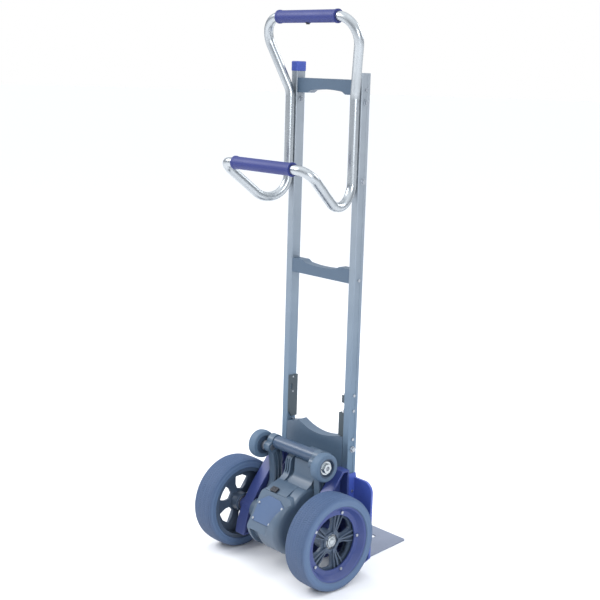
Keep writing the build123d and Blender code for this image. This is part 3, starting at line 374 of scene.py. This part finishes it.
def paintFinish(name, look):
    # paint, powder coat or moulded plastic: mottled colour, orange-peel height, worn corners, dust
    material, tree, shader = newFinish(name)
    look = paintDefaults | look
    color = look["color"] + (1,)
    skin = placeGroup(tree, "mottle", {
        "Color": color, "Dark": shade(color, look["darken"]), "Cloud Scale": look["cloud"],
        "Grain Scale": look["grain"], "Amount": look["mottle"],
    })
    wear = placeGroup(tree, "wear", {
        "Radius": look["corner"], "Breakup": look["breakup"], "Amount": look["wear"],
    })
    wornColor = look.get("wornColor", shade(color, look["wornLift"]))
    dusty = placeGroup(tree, "grime", {
        "Color": mixColor(tree, wear["Mask"], skin["Color"], wornColor),
        "Dust": look["dust"], "Top": look["dustTop"], "Amount": look["dustAmount"],
    })
    shown = dusty["Color"]
    if "sideColor" in look:
        shown = mixColor(tree, wallMask(tree, look), shown, look["sideColor"])
    link(tree, shown, shader["Base Color"])
    rough = mathNode(tree, "ADD", mathNode(tree, "MULTIPLY", skin["Mask"], look["roughSpread"]),
                     look["roughness"] - look["roughSpread"] / 2)
    dustRough = mathNode(tree, "MULTIPLY", dusty["Mask"], look["dustRough"])
    link(tree, mathNode(tree, "ADD", rough, dustRough, clamp=True), shader["Roughness"])
    bumpInto(tree, shader, skin["Height"], look["bump"], look["bumpDepth"], wear["Normal"])
    if "coat" in look:
        shader["Coat Weight"].default_value = look["coat"]
        shader["Coat Roughness"].default_value = look["coatRoughness"]
    return material


metalDefaults = {
    "darken": 0.72, "scale": 40.0, "corner": 0.001, "breakup": 80.0, "wear": 0.5, "wornLift": 1.15,
    "dust": (0.16, 0.19, 0.23, 1), "dustTop": 0.4, "dustAmount": 0.3, "dustRough": 0.3,
    "roughness": 0.1, "bump": 0.12, "bumpDepth": 0.0002, "metallic": 1.0,
}


def metalFinish(name, look):
    # bare metal with lines along one direction
    material, tree, shader = newFinish(name)
    look = metalDefaults | look
    color = look["color"] + (1,)
    lines = placeGroup(tree, "drawn", {
        "Stretch": look["stretch"], "Scale": look["scale"],
        "Color": color, "Dark": shade(color, look["darken"]),
    })
    wear = placeGroup(tree, "wear", {
        "Radius": look["corner"], "Breakup": look["breakup"], "Amount": look["wear"],
    })
    dusty = placeGroup(tree, "grime", {
        "Color": mixColor(tree, wear["Mask"], lines["Color"], shade(color, look["wornLift"])),
        "Dust": look["dust"], "Top": look["dustTop"], "Amount": look["dustAmount"],
    })
    shown = dusty["Color"]
    if "paintedLowShade" in look:      # painted shade: duller and bluer towards the floor
        shown = mixColor(tree, lowShadeMask(tree, look), look["paintedLowShade"], shown)
    link(tree, shown, shader["Base Color"])
    rough = mathNode(tree, "ADD", lines["Roughness"], look["roughness"])
    dustRough = mathNode(tree, "MULTIPLY", dusty["Mask"], look["dustRough"])
    link(tree, mathNode(tree, "ADD", rough, dustRough, clamp=True), shader["Roughness"])
    bumpInto(tree, shader, lines["Height"], look["bump"], look["bumpDepth"], wear["Normal"])
    shader["Metallic"].default_value = look["metallic"]
    return material


metalLooks = {
    "upright_aluminium": {
        "color": (0.40, 0.44, 0.48), "stretch": (60.0, 60.0, 0.6), "roughness": 0.14,
        # painted shade: the upright turns darker and bluer towards the floor, from lowFrom up to lowTo
        "paintedLowShade": (0.125, 0.20, 0.29, 1), "lowFrom": 0.25, "lowTo": 1.15, "metallic": 0.75,
    },
    "handle_aluminium": {
        "color": (0.50, 0.53, 0.55), "stretch": (30.0, 30.0, 30.0), "scale": 6.0, "roughness": -0.08,
        "bump": 0.02,
    },
    "toe_aluminium": {
        "color": (0.30, 0.33, 0.42), "stretch": (60.0, 1.0, 60.0), "roughness": 0.2, "metallic": 0.55,
        "dustTop": 0.05, "dustAmount": 0.2,
    },
    "bright_steel": {"color": (0.50, 0.53, 0.57), "stretch": (40.0, 40.0, 40.0), "roughness": 0.0},
    "hub_chrome": {
        "color": (0.56, 0.60, 0.62), "stretch": (30.0, 30.0, 30.0), "roughness": -0.12, "bump": 0.03,
    },
    "shaft_steel": {"color": (0.36, 0.38, 0.42), "stretch": (1.0, 60.0, 60.0)},
    "bearing_steel": {"color": (0.55, 0.56, 0.58), "stretch": (40.0, 40.0, 40.0)},
    "bronze": {"color": (0.46, 0.30, 0.14), "stretch": (40.0, 40.0, 40.0)},
    "spring_steel": {"color": (0.5, 0.5, 0.53), "stretch": (40.0, 40.0, 40.0)},
}
paintLooks = {
    "casting_grey": {
        "color": (0.070, 0.114, 0.172), "roughness": 0.42, "coat": 0.15, "bump": 0.25, "grain": 520.0,
        "wornColor": (0.17, 0.21, 0.25, 1),
    },
    "cover_grey": {"color": (0.055, 0.108, 0.222), "roughness": 0.45, "bump": 0.12},
    "bracket_blue": {
        "color": (0.030, 0.052, 0.215), "roughness": 0.4, "bump": 0.25, "grain": 500.0,
        "wornColor": (0.07, 0.09, 0.24, 1), "wear": 0.9,
    },
    "guard_blue": {"color": (0.050, 0.090, 0.400), "roughness": 0.42, "bump": 0.12, "mottle": 0.5},
    "ring_blue": {"color": (0.026, 0.050, 0.210), "roughness": 0.38, "bump": 0.08, "mottle": 0.5},
    "grip_blue": {"color": (0.016, 0.028, 0.175), "roughness": 0.55, "bump": 0.4, "grain": 900.0},
    "black_plastic": {
        "color": (0.010, 0.011, 0.018), "roughness": 0.4, "bump": 0.1,
        "wornColor": (0.03, 0.033, 0.045, 1),
    },
    "guide_dark": {"color": (0.045, 0.065, 0.080), "roughness": 0.5, "wornColor": (0.14, 0.17, 0.19, 1)},
    "cross_tube_grey": {"color": (0.040, 0.074, 0.134), "roughness": 0.38, "coat": 0.2, "bump": 0.1},
    "tyre_grey": {
        "color": (0.053, 0.100, 0.205), "roughness": 0.62, "bump": 0.35, "grain": 420.0,
        "sideColor": (0.085, 0.140, 0.245, 1), "sideFrom": 0.0345, "sideFade": 0.0025, "wear": 0.25,
        "dustTop": 0.26, "dustAmount": 0.5,
    },
    "roller_grey": {"color": (0.085, 0.140, 0.215), "roughness": 0.6, "bump": 0.25, "wear": 0.2},
    "rim_grey": {
        "color": (0.045, 0.075, 0.125), "roughness": 0.4, "bump": 0.2, "wear": 0.9,
        "wornColor": (0.17, 0.21, 0.26, 1),
    },
    "motor_black": {"color": (0.016, 0.016, 0.02), "roughness": 0.4},
}
finishes = {name: metalFinish(name, look) for name, look in metalLooks.items()}
finishes.update({name: paintFinish(name, look) for name, look in paintLooks.items()})
print("finishes made")


# helpers for pieces
def finishPiece(name, mesh, body, slot, replaced, smoothAngle):
    for face in mesh.faces:
        face.smooth = True
    data = bpy.data.meshes.new(name)
    mesh.to_mesh(data)
    mesh.free()
    data.set_sharp_from_angle(angle=math.radians(smoothAngle))
    piece = bpy.data.objects.new(name, data)
    bpy.context.scene.collection.objects.link(piece)
    data.materials.append(finishes[slot])
    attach(piece, body)
    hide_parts(replaced)
    return piece


def spanOf(verts, axis):
    places = [vert.co[axis] for vert in verts]
    return max(places) - min(places)


def dropCrumbs(mesh, thinnest):
    # loose bits as thin as a burr are not part of a casting
    seen = set()
    for start in list(mesh.verts):
        if start in seen:
            continue
        island, front = {start}, [start]
        while front:
            near = {edge.other_vert(vert) for vert in front for edge in vert.link_edges}
            front = [vert for vert in near if vert not in island]
            island.update(front)
        seen |= island
        if sorted(spanOf(island, axis) for axis in range(3))[1] < thinnest:
            bmesh.ops.delete(mesh, geom=list(island), context="VERTS")


refining = {
    "merge": 0.003,         # mm
    "flat": 0.4,            # degrees between faces that become one
    "sharp": 32,            # edges past this are rounded
    "segments": 2,
    "smooth": 40,
    "burred": ("neck_bracket",),
    "thinnest": 2.0,        # mm, for what is dropped as a burr
}


def refine(node, name, bevel):
    # a cleaned copy of the CAD solid with its sharp edges rounded
    mesh = bmesh.new()
    mesh.from_mesh(nodes[node].data)
    bmesh.ops.remove_doubles(mesh, verts=mesh.verts, dist=refining["merge"] * mm)
    if node in refining["burred"]:
        dropCrumbs(mesh, refining["thinnest"] * mm)
    bmesh.ops.dissolve_limit(mesh, angle_limit=math.radians(refining["flat"]), verts=mesh.verts,
                             edges=mesh.edges, use_dissolve_boundaries=False)
    sharp = math.radians(refining["sharp"])
    edges = [edge for edge in mesh.edges if len(edge.link_faces) == 2 and edge.calc_face_angle(0) > sharp]
    bmesh.ops.bevel(mesh, geom=edges, offset=bevel * mm, offset_type="OFFSET", affect="EDGES",
                    segments=refining["segments"], profile=0.5, material=-1, clamp_overlap=True,
                    loop_slide=True)
    piece = finishPiece(name, mesh, bodyOf[node], slotOf[node], node, refining["smooth"])
    weigh = piece.modifiers.new("weighted", "WEIGHTED_NORMAL")
    weigh.keep_sharp = True


refinedNodes = {    # node: (piece, bevel in mm)
    "left_upright": ("leftUprightTube", 0.8),
    "right_upright": ("rightUprightTube", 0.8),
    "left_end_cap": ("endCap", 0.8),
    "top_crossbar": ("topCrossbarCasting", 1.5),
    "middle_crossbar": ("middleCrossbarCasting", 1.5),
    "lower_crossmember": ("crossmemberCasting", 1.8),
    "neck_bracket": ("neckCasting", 1.6),
    "left_guard": ("leftGuardMoulding", 0.9),
    "right_guard": ("rightGuardMoulding", 0.9),
    "toe_plate": ("toePlateSheet", 0.6),
    "left_axle_bracket": ("leftBracketCasting", 1.0),
    "right_axle_bracket": ("rightBracketCasting", 1.0),
    "gear_case_left": ("leftCaseCasting", 1.6),
    "gear_case_right": ("rightCaseCasting", 1.6),
    "left_arm": ("leftArmCasting", 1.0),
    "right_arm": ("rightArmCasting", 1.0),
    "left_rim": ("leftRimCasting", 1.0),
    "right_rim": ("rightRimCasting", 1.0),
    "battery_hook": ("batteryHookPlate", 0.5),
    "right_battery_rail": ("rightRailPlate", 0.5),
    "left_battery_rail": ("leftRailPlate", 0.5),
    "handle_tube": ("handleBentTube", 0.3),
    "upper_grip": ("upperGripSleeve", 0.5),
    "lower_grip": ("lowerGripSleeve", 0.5),
    "drive_cover": ("driveCoverPanel", 1.2),
    "roller_tube": ("rollerCrossTube", 0.8),
    "roller_shaft": ("rollerStubShafts", 0.6),
    "roller_nuts": ("rollerNutsAndWashers", 0.7),
    "left_roller_tyre": ("leftRollerTread", 0.8),
    "right_roller_tyre": ("rightRollerTread", 0.8),
    "left_roller_hub": ("leftRollerCore", 0.6),
    "right_roller_hub": ("rightRollerCore", 0.6),
    "left_rim_ring": ("leftBlueRing", 0.6),
    "right_rim_ring": ("rightBlueRing", 0.6),
    "left_ring_bolts": ("leftRingScrews", 0.4),
    "right_ring_bolts": ("rightRingScrews", 0.4),
    "hex_bolts": ("clampBoltHeads", 0.5),
    "hex_nuts": ("clampNuts", 0.5),
    "frame_screws": ("frameScrewHeads", 0.3),
    "bracket_rivets": ("bracketRivetHeads", 0.3),
    "guard_screws": ("guardScrewHeads", 0.3),
    "toe_plate_bolts": ("toePlateBoltHeads", 0.5),
    "axle_bracket_bolts": ("axleBracketBoltHeads", 0.5),
    "cover_screws": ("coverScrewHeads", 0.3),
    "socket_bezel": ("chargeSocketBezel", 0.6),
    "control_button": ("controlButtonCap", 0.6),
    "button_housing": ("buttonPocket", 0.5),
}
for node, (name, bevel) in refinedNodes.items():
    refine(node, name, bevel)
print("solids refined")


# tyres: smooth walls, a stepped shoulder and a crown of small cross-cut blocks
tyreShape = {
    # out from the wheel's middle, and radius, in mm
    "wall": [(30, 100), (31, 103.3), (34.5, 103.3), (37.2, 106), (37.5, 108), (36.9, 110), (37.5, 112.5),
             (37.5, 118.5), (36.4, 119.6), (36.2, 121.2)],
    "crown": [(35.0, 124.6), (29.5, 127.0), (22.0, 127.9), (13.5, 128.4), (4.6, 128.7)],
    "blockHalf": 35.5,      # blocks lie this far out at most, in mm
    "blockFrom": 122.0,     # and are cut in faces past this radius
    "steps": 126,
    "cut": 0.7,             # half the width of a groove
    "blockHeight": 1.2,
    "zigzag": 0.5,          # how far each row leads the next, in block lengths
    "smooth": 30,
}


def spinOutline(mesh, verts, edges, middle, steps):
    bmesh.ops.spin(mesh, geom=verts + edges, cent=middle, axis=(1, 0, 0), angle=math.tau, steps=steps,
                   use_merge=True)


def zigzagRows(mesh, middle, shape):
    pitch = math.tau / shape["steps"]
    for number, (out, radius) in enumerate(shape["crown"][1:]):
        lead = pitch * shape["zigzag"] * (number % 2)
        for side in (1, -1):
            row = [vert for vert in mesh.verts
                   if abs(vert.co.x - middle.x - side * out * mm) < 0.2 * mm
                   and (vert.co - middle).yz.length > (radius - 1) * mm]
            bmesh.ops.rotate(mesh, verts=row, cent=middle, matrix=Matrix.Rotation(lead * side, 3, "X"))


def isBlock(face, middle, shape):
    place = face.calc_center_median() - middle
    return place.yz.length > shape["blockFrom"] * mm and abs(place.x) < shape["blockHalf"] * mm


def makeTyre(side, shape):
    low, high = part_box(f"{side}_tyre")
    middle = Vector((math.copysign(wheelMid, low[0] + high[0]), axle.y, axle.z))
    half = shape["wall"] + shape["crown"]
    outline = half + [(-out, radius) for out, radius in reversed(half)]
    mesh = bmesh.new()
    verts = [mesh.verts.new(middle + Vector((out, 0, radius)) * mm) for out, radius in outline]
    edges = [mesh.edges.new(ends) for ends in zip(verts, verts[1:] + verts[:1])]
    spinOutline(mesh, verts, edges, middle, shape["steps"])
    bmesh.ops.remove_doubles(mesh, verts=mesh.verts, dist=0.001 * mm)
    zigzagRows(mesh, middle, shape)
    bmesh.ops.recalc_face_normals(mesh, faces=mesh.faces)
    blocks = [face for face in mesh.faces if isBlock(face, middle, shape)]
    bmesh.ops.inset_individual(mesh, faces=blocks, thickness=shape["cut"] * mm,
                               depth=shape["blockHeight"] * mm, use_even_offset=True)
    finishPiece(f"{side}TreadedTyre", mesh, f"{side}_wheel", "tyre_grey", f"{side}_tyre", shape["smooth"])


for side in ("left", "right"):
    makeTyre(side, tyreShape)
print("tyres made")

# chrome hub caps with turned rings
hubCapShape = {
    "height": 8,
    # outward, and radius, in mm
    "profile": [(0, 17), (1.2, 17), (2.0, 16.2), (2.0, 14.6), (4.6, 14.2), (5.6, 13.2), (5.6, 11.4),
                (4.9, 10.8), (4.9, 9.4), (6.6, 8.8), (7.4, 7.6), (7.9, 5.0), (8.0, 0)],
    "steps": 48,
    "smooth": 28,
}


def makeHubCaps(shape):
    low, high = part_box("hub_nuts")
    faceX = max(abs(low[0]), abs(high[0])) - shape["height"] * mm
    mesh = bmesh.new()
    for sign in (-1, 1):
        foot = Vector((sign * faceX, axle.y, axle.z))
        places = [foot] + [foot + Vector((sign * out, 0, radius)) * mm for out, radius in shape["profile"]]
        verts = [mesh.verts.new(place) for place in places]
        edges = [mesh.edges.new(ends) for ends in zip(verts, verts[1:])]
        spinOutline(mesh, verts, edges, foot, shape["steps"])
    bmesh.ops.remove_doubles(mesh, verts=mesh.verts, dist=0.001 * mm)
    bmesh.ops.recalc_face_normals(mesh, faces=mesh.faces)
    finishPiece("hubCaps", mesh, bodyOf["hub_nuts"], "hub_chrome", "hub_nuts", shape["smooth"])


makeHubCaps(hubCapShape)
print("hub caps made")

# every CAD node that still shows takes its own finish
for name, node in nodes.items():
    node.data.materials.clear()
    node.data.materials.append(finishes[slotOf[name]])
